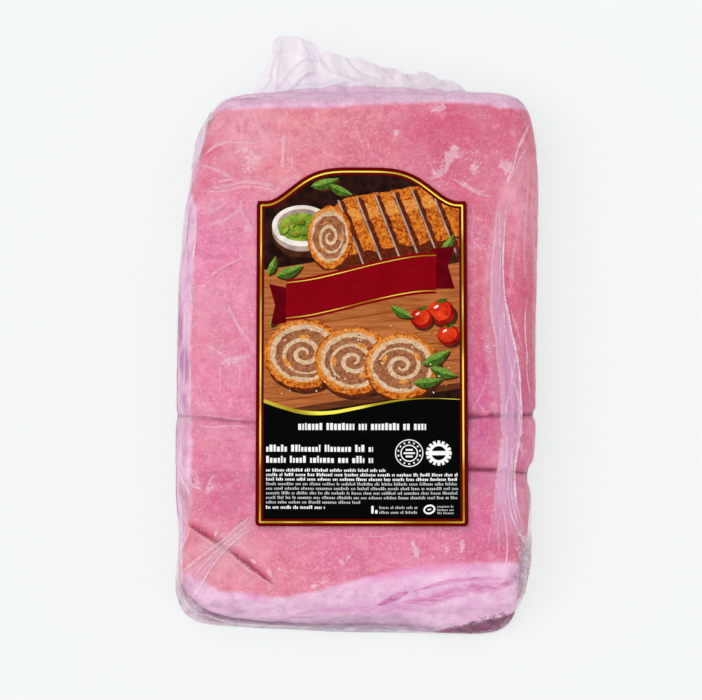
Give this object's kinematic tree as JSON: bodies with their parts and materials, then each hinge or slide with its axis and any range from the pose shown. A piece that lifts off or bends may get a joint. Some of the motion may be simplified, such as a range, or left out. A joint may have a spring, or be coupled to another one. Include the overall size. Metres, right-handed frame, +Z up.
{
  "type": "packed pork belly slab",
  "caption": "Skin-on raw pork belly slab sealed in a clear vacuum bag, with a gathered bag end and an arch-topped label on its skin side.",
  "frame": {"origin": "middle of the flat underside, on the plane that the slab rests on", "axes": "+X across the slab, +Y along it towards the gathered end of the bag, +Z up, out of the skin side with the label"},
  "size_m": [0.1714, 0.2901, 0.0467],
  "materials": {
    "pork": "raw pork under clear film: mottled pink rind, pale lilac fat and streaks of purple lean",
    "bag_film": "thin clear vacuum film, glossy, milky where it is pleated or crinkled",
    "label_print": "glossy printed sheet: dark red edge, gold line, warm picture field, black lower panel"
  },
  "bodies": {
    "root": {"sealed_slab": "pork", "label": "label_print"}
  },
  "joints": []
}
